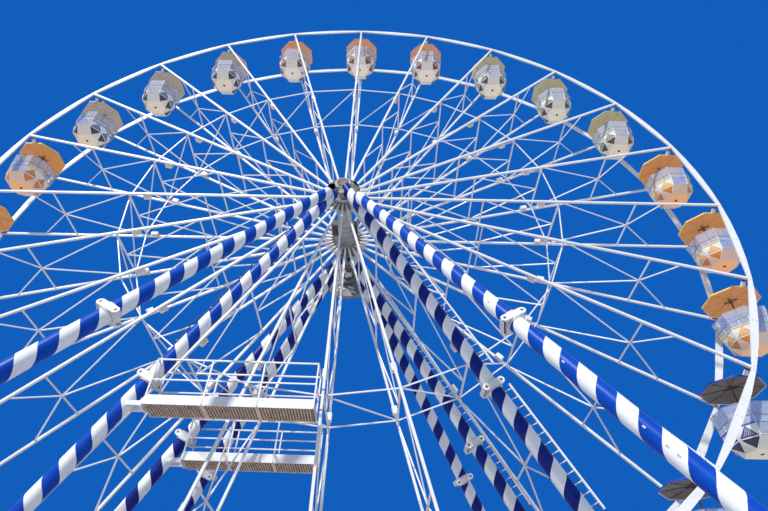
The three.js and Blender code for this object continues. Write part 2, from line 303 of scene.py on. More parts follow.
zinc = galvanised()
bolt_steel = enamel("oiled_fastener_steel", 0.45, (0.045, 0.042, 0.04), (30, 0.35, 0.7, (0.13, 0.085, 0.05)),
                    metallic=0.5)
painted(zinc, "base_beam_left", "base_beam_right", "base_tie_front", "base_tie_back")
FOOT_X, FEET_Y, FOOT_TOP, BEAM_WEB, RIB_STEP = 10.1145, (-8.546, -2.018, 2.018, 8.546), 0.445, 0.426, 1.25
for hand, x in (("left", -FOOT_X), ("right", FOOT_X)):
    parts = [block((x + web - 0.02, y - 0.008, 0.09), (x + web + 0.02, y + 0.008, 0.412), zinc)
             for web in (-BEAM_WEB, BEAM_WEB) for y in (RIB_STEP * (i - 7) for i in range(15))]
    parts += [block((x - 0.36, y - 0.42, 0.4205), (x + 0.36, y + 0.42, FOOT_TOP), zinc) for y in FEET_Y]
    fitted(joined(f"base_ribs_{hand}", parts, 0.002), "frame", "grey_steel")
    head = rod((0, 0, FOOT_TOP), (0, 0, FOOT_TOP + 0.03), 0.026, bolt_steel, 6)
    spots = [moved(x + dx, y + dy, 0) for y in FEET_Y for dx in (-0.31, 0.31)
             for dy in (-0.36, -0.12, 0.12, 0.36)]
    fitted(joined(f"foot_bolts_{hand}", copied(head, spots)), "frame", "grey_steel")

# Legs. Eight steel tubes of 440 mm, four a side, sprayed white with a blue band wound round them;
# each runs from the bearing head at the axle down to its foot plate on the base beam.
LEG_R, APEX_Y, APEX_Z, HEAD_END, CLAMP_Z, TUBE_FOOT = 0.22, 2.018, 18.81, 1.62, 9.55, 0.446
# The way the band winds, and for the tube lengths above and below the clamp one turn of it in
# metres and where its first middle lies
BANDS = {("front", "left", "inner"): (-1, (1.020, 0.020), (1.025, 0.020)),
         ("front", "left", "outer"): (-1, (1.030, 0.105), (1.030, 0.763)),
         ("front", "right", "inner"): (1, (1.034, 0.921), (1.050, 0.868)),
         ("front", "right", "outer"): (1, (1.039, 0.809), (1.062, 0.780)),
         ("back", "left", "inner"): (-1, (1.017, 0.923), (1.040, 0.941)),
         ("back", "left", "outer"): (-1, (1.065, 1.007), (1.065, 0.997)),
         ("back", "right", "inner"): (1, (1.067, 0.813), (1.070, 0.816)),
         ("back", "right", "outer"): (1, (1.019, 0.291), (1.030, 0.240))}
# The three legs named here take the lighter blue. The other five take a darker navy copy of the band paint,
# which is painted shade for the legs that stand in shade.
LEGS_WITHOUT_PAINTED_SHADE = (("front", "left", "inner"), ("front", "left", "outer"), ("front", "right", "outer"))
SIDE, HAND = {"front": -1, "back": 1}, {"left": -1, "right": 1}
LEG_LEAN, LEG_SPLAY = 0.55, 0.355


def leg_axes(which):
    """The leg's top point, its direction downward and two directions across it."""
    end, hand, row = which
    down = Vector((HAND[hand] * LEG_LEAN, SIDE[end] * LEG_SPLAY if row == "outer" else 0, -1)).normalized()
    across = (Vector((0, 1, 0)) - down.y * down).normalized()
    return Vector((0, SIDE[end] * APEX_Y, APEX_Z)), down, across, down.cross(across)


def leg_matrix(which, along):
    """The leg's own axes at that distance down it, as a placing matrix."""
    apex, down, across, outward = leg_axes(which)
    return Matrix.Translation(apex + down * along) @ Matrix((across, outward, down)).transposed().to_4x4()


def down_to(which, z):
    """How far down the leg that height lies."""
    return (z - APEX_Z) / leg_axes(which)[1].z


def shade(colour, share):
    """The colour made darker to that share of itself."""
    return tuple(share * c for c in colour)


def banded_paint(name, blue_one, blue_two):
    """White with a blue band wound round the tube, in two close shades of that blue."""
    paint, tree, shader, place = finish(name, 0.36)
    shader.inputs["Specular IOR Level"].default_value = 0.15
    bands = tree.nodes.new("ShaderNodeUVMap")
    bands.uv_map = "UVMap"
    apart = tree.nodes.new("ShaderNodeSeparateXYZ")
    tree.links.new(bands.outputs["UV"], apart.inputs["Vector"])
    ragged = sums(tree, "MULTIPLY", clouds(tree, place, 14, 0.3, 0.7), 0.006)
    turn = sums(tree, "PINGPONG", sums(tree, "ADD", apart.outputs["X"], ragged), 0.5)
    edge = ramp(tree, turn, 0.249, 0.253)
    blue = stained(tree, place, blue_one, (3.0, 0.42, 0.8, blue_two), (45, 0.69, 0.75, shade(blue_one, 0.7)))
    white = stained(tree, place, (0.82, 0.835, 0.865), (2.2, 0.45, 0.85, (0.72, 0.73, 0.75)),
                    (40, 0.69, 0.76, (0.55, 0.50, 0.44)))
    tree.links.new(over(tree, edge, blue, white), shader.inputs["Base Color"])
    tree.links.new(sums(tree, "ADD", 0.28, clouds(tree, place, 6, 0.2, 4.0)), shader.inputs["Roughness"])
    bumps(tree, shader, clouds(tree, place, 60, 0.0, 1.0), 0.05, 0.002)
    return paint


def opened(piece):
    """Opens the piece in edit mode, to pick its faces."""
    piece.select_set(True)
    bpy.context.view_layer.objects.active = piece
    bpy.ops.object.mode_set(mode="EDIT")
    bpy.ops.mesh.select_mode(type="FACE")


def closed(piece):
    """Leaves edit mode and puts the piece aside."""
    bpy.ops.object.mode_set(mode="OBJECT")
    piece.select_set(False)


def banded_tube(name, which, start, end, pitch, first):
    """A tube of that leg between two distances down it, with its bands laid out in its UV map."""
    apex, down, across, outward = leg_axes(which)
    bpy.ops.mesh.primitive_cylinder_add(vertices=48, radius=LEG_R, depth=end - start,
                                        location=apex + down * (start + end) / 2,
                                        rotation=Matrix((across, outward, down)).transposed().to_euler())
    tube = placed(band_paint if which in LEGS_WITHOUT_PAINTED_SHADE else painted_shade_band_paint)
    tube.name = tube.data.name = name
    if name == "lower":
        opened(tube)
        bpy.ops.mesh.select_all(action="SELECT")
        bpy.ops.mesh.bisect(plane_co=(0, 0, TUBE_FOOT), plane_no=(0, 0, 1), use_fill=True, clear_inner=True)
        closed(tube)
    layout = tube.data.uv_layers["UVMap"].data
    for face in tube.data.polygons:
        away = face.center - apex
        middle = math.atan2(away.dot(outward), away.dot(across))
        for i in face.loop_indices:
            at = tube.data.vertices[tube.data.loops[i].vertex_index].co - apex
            angle = math.atan2(at.dot(outward), at.dot(across))
            angle = middle + (angle - middle + math.pi) % (2 * math.pi) - math.pi
            layout[i].uv = ((at.dot(down) - first) / pitch - BANDS[which][0] * angle / (2 * math.pi), 0)
            if abs(face.normal.dot(down)) > 0.5:
                layout[i].uv = (0.5, 0)
    return tube


# the second band paint is the first one darkened to navy: painted shade for the legs that stand in shade
band_paint = banded_paint("blue_and_white_band_paint", (0.0, 0.054, 0.41), (0.0, 0.069, 0.46))
painted_shade_band_paint = banded_paint("band_paint_with_painted_shade", (0.003, 0.016, 0.19), (0.004, 0.022, 0.24))
for which, (_, upper, lower) in BANDS.items():
    node = "leg_" + "_".join(which)
    joint = down_to(which, CLAMP_Z)
    tubes = [banded_tube("upper", which, HEAD_END, joint, *upper),
             banded_tube("lower", which, joint, 23, *lower)]
    fitted(joined(node + "_tube", tubes), "frame", "striped_leg", node)

# Foot gussets: four ribs weld each leg to its foot plate. Cut plate, painted white.


def white_paint(name, grime):
    """White machine enamel, chalky and grey-stained, with small rust runs; grime is from 0 to 1."""
    paint, tree, shader, place = finish(name, 0.42)
    shader.inputs["Coat Weight"].default_value = 0.15
    shader.inputs["Coat Roughness"].default_value = 0.3
    white = stained(tree, place, (0.765, 0.77, 0.785), (1.1, 0.45, 0.85, (0.66, 0.65, 0.64)),
                    (7, 0.66 - 0.12 * grime, 0.86, (0.50, 0.46, 0.40)),
                    (26, 0.74 - 0.08 * grime, 0.78, (0.30, 0.19, 0.11)))
    tree.links.new(white, shader.inputs["Base Color"])
    tree.links.new(sums(tree, "ADD", 0.36, clouds(tree, place, 4, 0.2, 3.0)), shader.inputs["Roughness"])
    bumps(tree, shader, clouds(tree, place, 50, 0.0, 1.0), 0.06, 0.002)
    return paint


white = white_paint("white_enamel", 0.2)
worn_white = white_paint("white_enamel_worn", 1.0)
for which in BANDS:
    apex, down, across, outward = leg_axes(which)
    foot = apex + down * down_to(which, FOOT_TOP)
    ribs = []
    for k in range(4):
        out = Matrix.Rotation(math.radians(45 + 90 * k), 3, "Z") @ Vector((1, 0, 0))
        toe = foot + out * 0.36
        rib = [foot + out * 0.15, toe, toe + Vector((0, 0, 0.03)), foot + out * 0.16 - down * 0.55]
        ribs.append(plate(rib, 0.016, white))
    fitted(joined("foot_gussets_" + "_".join(which), ribs, 0.002), "frame", "white_steel")

# Leg clamps. Half way down every leg two white flange plates with rounded ears close round the
# tube joint; a pin goes through each ear and a double lug hangs behind the lower one.


def ear_plate(at, paint):
    """One flange plate, its long way across the leg, with a round ear at both ends."""
    outline = []
    for k in range(16):
        turn = math.radians(-90 + 180 * k / 15)
        outline.append((at, 0.255 + 0.112 * math.cos(turn), 0.112 * math.sin(turn)))
    outline += [(at, -y, -z) for x, y, z in outline]
    return plate(outline, 0.05, paint)


parts = [ear_plate(-0.232, worn_white), ear_plate(0.232, worn_white)]
parts.append(lump((0, 0, 0), (0.21, 0.27, 0.10), worn_white))
for z in (-0.135, 0.135):
    parts.append(rod((0, 0, z - 0.014), (0, 0, z + 0.014), 0.252, worn_white, 32))
for y in (-0.265, 0.265):
    for x0, x1 in ((-0.2585, -0.20), (0.20, 0.2585)):
        parts.append(rod((x0, y, 0), (x1, y, 0), 0.045, bolt_steel, 16))
for y in (-0.355, -0.235):
    parts.append(block((-0.19, y - 0.012, -0.075), (0.255, y + 0.012, 0.075), worn_white))
parts.append(rod((-0.15, -0.295, 0), (0.24, -0.295, 0), 0.035, bolt_steel, 12))
clamp = joined("leg_clamp", parts, 0.004)
placings = [leg_matrix(which, down_to(which, CLAMP_Z)) for which in BANDS]
for which, copy in zip(BANDS, copied(clamp, placings)):
    copy.name = copy.data.name = "leg_clamp_" + "_".join(which)
    fitted(copy, "frame", "white_steel")

# Leg heads. A bearing housing at each end of the axle takes the four tube ends of its side; the
# tube ends are closed with dark bolted discs and a small greasing box hangs under the housing.


def machine_grey(name, first, second, spots=(0.12, 0.085, 0.055)):
    """Grey machine enamel, patchy with grease."""
    return enamel(name, 0.5, first, (3.5, 0.38, 0.7, second), (16, 0.6, 0.72, spots))


bearing_brown = machine_grey("bearing_box_brown", (0.16, 0.12, 0.085), (0.085, 0.06, 0.045))
mottled = machine_grey("housing_mottled_grey", (0.42, 0.42, 0.42), (0.20, 0.20, 0.21), (0.07, 0.06, 0.055))
housing_face = machine_grey("housing_face_grease", (0.085, 0.06, 0.05), (0.26, 0.245, 0.235),
                            (0.04, 0.028, 0.02))
unit_tan = machine_grey("greasing_box_tan", (0.34, 0.31, 0.24), (0.22, 0.20, 0.15))
HOUSE_NEAR, HOUSE_FAR, FACE_FAR, BOLT_RING = 1.7704, 2.1, 2.135, 0.195
# Where each leg's tube end starts, measured down its line from the axle
TUBE_ENDS = {("left", "inner"): 0.72, ("left", "outer"): 1.1,
             ("right", "inner"): 0.25, ("right", "outer"): 1.59}
for end, sy in SIDE.items():
    parts = []
    for (hand, row), start in TUBE_ENDS.items():
        which = (end, hand, row)
        parts.append(banded_tube("stub", which, start, HEAD_END - 0.0003, *BANDS[which][1]))
        apex, down, across, outward = leg_axes(which)
        cap = apex + down * start
        parts.append(rod(cap - down * 0.02, cap + down * 0.01, LEG_R + 0.002, bolt_steel, 32))
    parts.append(rod((0, sy * HOUSE_NEAR, APEX_Z), (0, sy * HOUSE_FAR, APEX_Z), 0.33, mottled, 48))
    parts.append(rod((0, sy * HOUSE_FAR, APEX_Z), (0, sy * FACE_FAR, APEX_Z), 0.24, housing_face, 32))
    parts.append(block((-0.12, sy * 2.01 - 0.15, 18.10), (0.09, sy * 2.01 + 0.15, 18.34), unit_tan))
    parts.append(block((-0.06, sy * 2.0 - 0.05, 18.30), (0.04, sy * 2.0 + 0.05, 18.52), mottled))
    if end == "back":
        parts.append(rod((0, HOUSE_FAR, APEX_Z), (0, 2.45, APEX_Z), 0.14, worn_white, 24))
    fitted(joined(f"leg_head_{end}_housing", parts, 0.004), "frame", "white_steel", f"leg_head_{end}")
    head = rod((0, sy * FACE_FAR, 0), (0, sy * (FACE_FAR + 0.025), 0), 0.018, bolt_steel, 6)
    angles = [math.radians(30 * k) for k in range(12)]
    ring = [moved(BOLT_RING * math.cos(a), 0, APEX_Z + BOLT_RING * math.sin(a)) for a in angles]
    fitted(joined(f"leg_head_{end}_bolts", copied(head, ring)), "frame", "grey_steel")

# Access ladders up two inner legs: pegs stand off the tube and carry one rail, in two lengths
# that stop at the clamp; a small brown bolt holds each peg.
PEG_STEP, RAIL_STOP, RAIL_START = 0.30, 9.95, 10.75
for end, low, high in (("front", 3.9, 14.7), ("back", 2.1, 13.1)):
    parts = []
    for start, stop in ((low, RAIL_STOP), (RAIL_START, high)):
        parts.append(block((-0.15, 0.415, start), (-0.09, 0.465, stop), white))
        peg = joined("peg", [rod((-0.12, 0.17, 0), (-0.12, 0.43, 0), 0.014, worn_white, 8),
                             block((-0.14, 0.235, -0.02), (-0.10, 0.262, 0.02), bearing_brown)])
        pegs = range(int((stop - start) / PEG_STEP))
        parts += copied(peg, [moved(0, 0, start + PEG_STEP * (i + 0.5)) for i in pegs])
    ladder = joined(f"ladder_{end}", parts)
    ladder.data.transform(leg_matrix((end, "right", "inner"), 0))
    fitted(ladder, "frame", "white_steel")

# Feed cable: a black flexible cable clipped along the upper side of the front left inner leg, in
# shallow festoons between its clips.
rubber = enamel("cable_rubber", 0.6, (0.012, 0.012, 0.013), (8, 0.4, 0.75, (0.05, 0.045, 0.04)))
FIRST_CLIP, CLIP_STEP, CABLE_SAG = 1.7, 1.5, 0.11
line = bpy.data.curves.new("feed_cable", "CURVE")
line.dimensions = "3D"
line.bevel_depth = 0.018
line.bevel_resolution = 2
line.use_fill_caps = True
path = line.splines.new("POLY")
stations = [FIRST_CLIP + 0.1 * i for i in range(77)]
path.points.add(len(stations) - 1)
for spot, s in zip(path.points, stations):
    sag = CABLE_SAG * math.sin(math.pi * ((s - FIRST_CLIP) / CLIP_STEP % 1)) ** 2
    spot.co = (-0.17 + sag * 0.4, -0.16 - sag, s, 1)
cable = bpy.data.objects.new("feed_cable", line)
bpy.context.scene.collection.objects.link(cable)
cable.select_set(True)
bpy.context.view_layer.objects.active = cable
bpy.ops.object.convert(target="MESH")
cable = bpy.context.object
cable.data.materials.append(rubber)
cable.select_set(False)
clip = block((-0.195, -0.20, -0.02), (-0.145, -0.12, 0.02), bolt_steel)
clips = copied(clip, [moved(0, 0, FIRST_CLIP + CLIP_STEP * i) for i in range(6)])
cable = joined("feed_cable", [cable] + clips)
cable.data.transform(leg_matrix(("front", "left", "inner"), 0))
fitted(cable, "frame", "striped_leg")

# Step lugs: small slotted brackets on the under side of the front right outer leg; the dark brown patch on
# each is painted shade in its slot.
lug = joined("lug", [block((-0.238, -0.02, -0.035), (-0.205, 0.02, 0.035), worn_white),
                     block((-0.243, -0.006, -0.018), (-0.236, 0.006, 0.018), bearing_brown)], 0.003)
places = [moved(0, 0, s) @ turned(37, "Z") for s in (10.22, 12.96, 15.1, 15.6, 15.84)]
lugs = joined("step_lugs", copied(lug, places))
lugs.data.transform(leg_matrix(("front", "right", "outer"), 0))
fitted(lugs, "frame", "white_steel")

# Work platforms. Each is a white welded tray beside the left inner leg: a deep fascia in three
# bays, beige joists flush with a ribbed deck, railings both long sides and a perforated end plate.
decking = enamel("ribbed_decking", 0.6, (0.37, 0.24, 0.155), (5, 0.4, 0.7, (0.21, 0.13, 0.08)),
                 (14, 0.55, 0.7, (0.50, 0.38, 0.28)), metallic=0.1)
pale_rib = machine_grey("rib_pale_zinc", (0.66, 0.55, 0.44), (0.43, 0.32, 0.23), (0.24, 0.16, 0.11))
beige = enamel("joist_beige_enamel", 0.5, (0.82, 0.58, 0.37), (6, 0.4, 0.75, (0.58, 0.39, 0.24)))
DECK_Z, RAIL_Z, TRAY_DEPTH, RIB_PITCH, HANGS_BY = 8.83, 10.085, 0.23, 0.085, 0.6
KNEE_LOW, KNEE_HIGH = DECK_Z + 0.54, DECK_Z + 0.58
low = DECK_Z - TRAY_DEPTH
for end, x0, x1, post_x in (("front", -4.93, -0.06, (-3.24, -1.68)), ("back", -4.88, -0.30, (-3.35, -1.79))):
    arm_y = SIDE[end] * APEX_Y
    y0, y1 = sorted((SIDE[end] * 1.55, SIDE[end] * 2.37))
    posts = [x0 + 0.04, *post_x, x1 - 0.03]
    # fascia in three bays with its thin flanges, and the dark joints between the bays
    bays = list(zip([x0] + [x + 0.006 for x in post_x], [x - 0.006 for x in post_x] + [x1]))
    parts = [block((a, y, low), (b, y + 0.012, DECK_Z), white) for y in (y0, y1 - 0.012) for a, b in bays]
    parts += [block((a, y, z), (b, y + 0.016, z + 0.012), white)
              for y in (y0 - 0.003, y1 - 0.013) for a, b in bays for z in (low + 0.003, DECK_Z - 0.015)]
    parts += [block((x - 0.008, y0 + 0.002, low + 0.002), (x + 0.008, y1 - 0.002, DECK_Z - 0.03), bolt_steel)
              for x in post_x]
    parts.append(block((x0, y0 + 0.01, low), (x0 + 0.012, y1 - 0.01, DECK_Z), white))
    # joists, decking and its ribs
    parts += [block((x - 0.055, y0 + 0.012, low + 0.001), (x + 0.055, y1 - 0.012, low + 0.06), beige)
              for x in post_x]
    parts.append(block((x0 + 0.012, y0 + 0.012, low + 0.045), (x1 - 0.012, y1 - 0.012, low + 0.055), decking))
    rib = block((-0.018, y0 + 0.012, low + 0.002), (0.018, y1 - 0.012, low + 0.046), pale_rib)
    ribs = range(int((x1 - x0 - 0.1) / RIB_PITCH))
    parts += copied(rib, [moved(x0 + 0.06 + RIB_PITCH * i, 0, 0) for i in ribs])
    # perforated end plate: cross bars and uprights leave two rows of openings before a dark back, which is
    # painted shade inside the tray
    parts += [block((x1 - 0.014, y0 + 0.01, z), (x1 - 0.002, y1 - 0.01, z + 0.042), worn_white)
              for z in (low, low + 0.094, DECK_Z - 0.042)]
    for y in (y0 + 0.02 + (y1 - y0 - 0.04) * i / 7 for i in range(8)):
        parts.append(block((x1 - 0.014, y - 0.02, low + 0.02), (x1 - 0.002, y + 0.02, DECK_Z - 0.02),
                           worn_white))
    # the dark sheet behind the openings is painted shade
    parts.append(block((x1 - 0.03, y0 + 0.012, low + 0.02), (x1 - 0.02, y1 - 0.012, DECK_Z - 0.02),
                       bolt_steel))
    # railing: posts on dark feet, hand rail, knee rail and toe board along both sides
    for y in (y0 + 0.025, y1 - 0.025):
        for x in posts:
            parts.append(block((x - 0.022, y - 0.022, low + 0.02), (x + 0.022, y + 0.022, RAIL_Z - 0.02),
                               white))
            parts.append(block((x - 0.028, y - 0.027, low + 0.02), (x + 0.028, y + 0.027, low + 0.035),
                               bolt_steel))
        for half, z0, z1 in ((0.022, RAIL_Z - 0.044, RAIL_Z), (0.018, KNEE_LOW, KNEE_HIGH),
                             (0.010, DECK_Z - 0.01, DECK_Z + 0.075)):
            parts.append(block((x0 + 0.018, y - half, z0), (x1 - 0.008, y + half, z1), white))
    # end rails
    for x in (posts[0], posts[-1]):
        for half, z0, z1 in ((0.02, RAIL_Z - 0.046, RAIL_Z - 0.006), (0.018, KNEE_LOW, KNEE_HIGH)):
            parts.append(block((x - half, y0 + 0.03, z0), (x + half, y1 - 0.03, z1), white))
    # two arms and their end plate carry the tray from the leg
    for y in (arm_y - 0.17, arm_y + 0.17):
        parts.append(block((-5.45, y - 0.05, DECK_Z - 0.20), (x0 + 0.02, y + 0.05, DECK_Z - 0.06), white))
    parts.append(block((x0 - 0.10, arm_y - 0.25, DECK_Z - 0.228), (x0 - 0.05, arm_y + 0.25, DECK_Z - 0.002),
                       white))
    tray = joined(f"work_platform_{end}_tray", parts, 0.002)
    tray.data.transform(moved(x0, 0, DECK_Z) @ turned(HANGS_BY, "Y") @ moved(-x0, 0, -DECK_Z))
    fitted(tray, "frame", "white_steel", f"work_platform_{end}")

# Boarding decks: chequered aluminium plate on low trestles either side of the lowest gondola.


def chequer_plate():
    """Aluminium with raised treads, two crossed rows of them, 60 mm apart."""
    paint, tree, shader, place = finish("chequer_plate", 0.38, 0.75)
    height = None
    for turn, shift in ((45, 0), (-45, 0.03)):
        laid = tree.nodes.new("ShaderNodeMapping")
        laid.inputs["Rotation"].default_value = (0, 0, math.radians(turn))
        laid.inputs["Location"].default_value = (shift, shift, 0)
        laid.inputs["Scale"].default_value = (1 / 0.06, 1 / 0.06, 1)
        tree.links.new(place, laid.inputs["Vector"])
        step = laid
        for kind, by in (("FRACTION", None), ("SUBTRACT", (0.5, 0.5, 0)),
                         ("MULTIPLY", (1, 4.5, 0)), ("LENGTH", None)):
            before, step = step, tree.nodes.new("ShaderNodeVectorMath")
            step.operation = kind
            if by:
                step.inputs[1].default_value = by
            tree.links.new(before.outputs["Vector"], step.inputs[0])
        tread = ramp(tree, step.outputs["Value"], 0.46, 0.38)
        height = tread if height is None else sums(tree, "MAXIMUM", height, tread)
    colour = stained(tree, place, (0.50, 0.51, 0.52), (1.6, 0.4, 0.75, (0.30, 0.29, 0.27)))
    tree.links.new(over(tree, height, colour, (0.62, 0.63, 0.64)), shader.inputs["Base Color"])
    bumps(tree, shader, height, 0.5, 0.004)
    return paint


painted(chequer_plate(), "boarding_deck_front", "boarding_deck_back")

# Friction drives: a blue motor stand each side under the rim, and its pneumatic tyre with a
# ribbed tread and a steel wheel that rolls on the rim's outer track.


def picked(piece, wanted):
    """Selects only the faces of the opened piece that the test wants."""
    shape = bmesh.from_edit_mesh(piece.data)
    found = [f for f in shape.faces if wanted(f)]
    bpy.ops.mesh.select_all(action="DESELECT")
    for f in found:
        f.select_set(True)
    bmesh.update_edit_mesh(piece.data)


drive_blue = enamel("blue_machine_enamel", 0.4, (0.035, 0.10, 0.26), (2.5, 0.4, 0.8, (0.06, 0.12, 0.24)),
                    (14, 0.64, 0.75, (0.09, 0.07, 0.055)))
painted(drive_blue, "drive_stand_front", "drive_stand_back")
DRIVE_X, DRIVE_Z, RIM_Y, TYRE_R, TYRE_HALF = 5.3, 3.4052, 1.278, 0.298, 0.1
for end, sy in SIDE.items():
    y = sy * RIM_Y
    bpy.ops.mesh.primitive_cylinder_add(vertices=48, radius=TYRE_R, depth=2 * TYRE_HALF,
                                        location=(DRIVE_X, y, DRIVE_Z), rotation=(math.pi / 2, 0, 0))
    tyre = placed(rubber)
    opened(tyre)
    for width, inward in ((0.035, 0.0), (0.06, 0.0), (0.015, -0.03), (0.05, -0.03)):
        picked(tyre, lambda f: len(f.verts) > 8)
        bpy.ops.mesh.inset(thickness=width, depth=inward, use_individual=True)
    closed(tyre)
    lug = block((-0.006, y - TYRE_HALF, 0.292), (0.006, y + TYRE_HALF, TYRE_R + 0.0015), rubber)
    nut = rod((0.06, y - 0.109, 0), (0.06, y + 0.109, 0), 0.012, bolt_steel, 6)
    middle = moved(DRIVE_X, 0, DRIVE_Z)
    parts = [tyre] + copied(lug, [middle @ turned(7.5 * k, "Y") for k in range(48)])
    parts.append(rod((DRIVE_X, y - 0.105, DRIVE_Z), (DRIVE_X, y + 0.105, DRIVE_Z), 0.09, zinc, 24))
    parts += copied(nut, [middle @ turned(60 * k, "Y") for k in range(6)])
    fitted(joined(f"drive_tyre_{end}_wheel", parts, 0.002), f"tyre_{end}", "tyre_rubber", f"drive_tyre_{end}")

# Axle and slip-ring unit. The fixed axle shows only at the hub's ends. Behind the back head the
# ring housing sits in line with it, with its castings, a dark banded flange and a round cover.
unit_grey = machine_grey("slip_ring_grey", (0.055, 0.05, 0.045), (0.02, 0.018, 0.016), (0.12, 0.10, 0.085))
cover_grey = machine_grey("slip_ring_cover_grey", (0.24, 0.235, 0.235), (0.15, 0.145, 0.145),
                          (0.40, 0.40, 0.40))
cover_tan = machine_grey("cover_edge_tan", (0.42, 0.36, 0.28), (0.30, 0.26, 0.20))
painted(zinc, "axle")
painted(cover_grey, "slip_ring_unit")
COVER_R, COVER_Y = 1.139, 3.985
parts = []
# bands round the housing and its flange: where each starts along Y, its radius and its paint
for y, paint in ((2.50, unit_grey), (2.66, worn_white), (2.82, unit_grey)):
    parts.append(rod((0, y, APEX_Z), (0, y + 0.04, APEX_Z), 0.225, paint, 32))
for y, r, paint in ((3.02, 0.285, unit_grey), (3.14, 0.31, unit_grey), (3.26, 0.28, mottled),
                    (3.40, 0.30, unit_grey), (3.56, 0.28, mottled), (3.66, 0.30, unit_grey),
                    (3.745, 0.45, unit_grey), (3.79, 0.442, worn_white), (3.835, 0.45, unit_grey),
                    (3.925, 0.36, unit_grey)):
    parts.append(rod((0, y, APEX_Z), (0, y + 0.03, APEX_Z), r, paint, 48))
# white castings under the housing, white straps and grey ribs on the cover's face
for x, z, y in ((-0.12, -0.27, 3.16), (0.02, -0.29, 3.26), (-0.05, -0.30, 3.42), (0.12, -0.28, 3.36)):
    parts.append(lump((x, y, APEX_Z + z - 0.005), (0.065, 0.08, 0.065), white))
for x0, x1, z0, z1 in ((-0.42, -0.14, -0.62, -0.74), (0.02, 0.30, -0.56, -0.66),
                       (0.16, 0.40, -0.80, -0.96), (-0.62, -0.44, -0.70, -0.88)):
    a, b = (x0, COVER_Y - 0.01, APEX_Z + z0), (x1, COVER_Y - 0.01, APEX_Z + z1)
    parts.append(bar(a, b, 0.07, 0.06, worn_white, (0, 1, 0)))
centre = Vector((0, COVER_Y, APEX_Z))
for k in range(12):
    out = Matrix.Rotation(math.radians(15 + 30 * k), 3, "Y") @ Vector((1, 0, 0))
    parts.append(bar(centre + out * 0.36, centre + out * 1.13, 0.03, 0.02, cover_grey, (0, 1, 0)))
bpy.ops.mesh.primitive_torus_add(major_radius=COVER_R, minor_radius=0.0115, major_segments=72,
                                 minor_segments=8, location=(0, COVER_Y + 0.007, APEX_Z),
                                 rotation=(math.pi / 2, 0, 0))
parts.append(placed(cover_tan))
fitted(joined("slip_ring_fittings", parts, 0.003), "frame", "grey_steel")

# Hub. A tan-grey barrel with conical ends, a spoke flange in dark brown that is painted shade, and a bolted
# bearing ring at each end, and two control boxes strapped to it. It turns with the wheel.
tan_paint = machine_grey("barrel_tan_enamel", (0.46, 0.45, 0.42), (0.33, 0.315, 0.285), (0.16, 0.13, 0.10))
cone_paint = machine_grey("cone_grey_enamel", (0.38, 0.375, 0.36), (0.22, 0.21, 0.195), (0.10, 0.08, 0.06))
pale_ring = machine_grey("bearing_ring_pale", (0.62, 0.62, 0.61), (0.42, 0.42, 0.41), (0.16, 0.13, 0.10))
# the spoke flange's dark brown is painted shade round the spoke roots
flange_painted_shade = machine_grey("flange_painted_shade_brown", (0.10, 0.08, 0.065), (0.20, 0.17, 0.14))
ring_paint = machine_grey("bearing_ring_grey", (0.30, 0.285, 0.27), (0.14, 0.12, 0.105), (0.06, 0.045, 0.035))


def greased_face():
    """Pale bearing ring face, brown with grease over its upper part."""
    paint, tree, shader, place = finish("bearing_ring_face", 0.5)
    apart = tree.nodes.new("ShaderNodeSeparateXYZ")
    tree.links.new(place, apart.inputs["Vector"])
    level = ramp(tree, apart.outputs["Z"], APEX_Z - 0.35, APEX_Z - 0.05)
    clean = stained(tree, place, (0.60, 0.60, 0.59), (7, 0.4, 0.7, (0.38, 0.37, 0.35)))
    grease = stained(tree, place, (0.075, 0.055, 0.045), (6, 0.4, 0.65, (0.22, 0.19, 0.17)))
    tree.links.new(over(tree, level, clean, grease), shader.inputs["Base Color"])
    return paint


ring_face = greased_face()
BARREL_R, BARREL_HALF, RING_R, RING_END, HUB_BOLT_R = 0.30, 0.70, 0.70, 1.74, 0.665
# Cone, spoke flange and bearing ring of each end: near radius and place, far radius and place, and
# the paint where it isn't the ring's own
LENGTHS = ((BARREL_R, BARREL_HALF, 0.56, 1.215, cone_paint), (0.76, 1.215, 0.76, 1.36, flange_painted_shade),
           (0.48, 1.36, 0.59, 1.64, None), (0.59, 1.64, RING_R, 1.66, None),
           (RING_R, 1.66, RING_R, RING_END, None))
axle_line = Vector((0, 0, APEX_Z))
parts = [rod((0, -BARREL_HALF, APEX_Z), (0, BARREL_HALF, APEX_Z), BARREL_R, tan_paint, 48)]
for end, sy in SIDE.items():
    for r0, y0, r1, y1, paint in LENGTHS:
        bpy.ops.mesh.primitive_cone_add(vertices=64, radius1=r0, radius2=r1, depth=y1 - y0,
                                        location=(0, sy * (y0 + y1) / 2, APEX_Z),
                                        rotation=(-sy * math.pi / 2, 0, 0))
        parts.append(placed(paint or (pale_ring if end == "front" else ring_paint)))
    parts.append(rod((0, sy * RING_END, APEX_Z), (0, sy * (RING_END - 0.001), APEX_Z), RING_R, ring_face, 64))
    # a web between cone and flange beside each spoke
    for k in range(24):
        a = math.radians(7.5 + 15 * k)
        out = Vector((math.cos(a), 0, math.sin(a)))
        web = [axle_line + out * r + Vector((0, sy * y, 0))
               for r, y in ((0.44, 1.0), (0.74, 1.21), (0.54, 1.21))]
        parts.append(plate(web, 0.014, cone_paint))
for y in (0.25, 0.52):
    parts.append(rod((0, y, APEX_Z), (0, y + 0.022, APEX_Z), BARREL_R + 0.005, bearing_brown, 48))
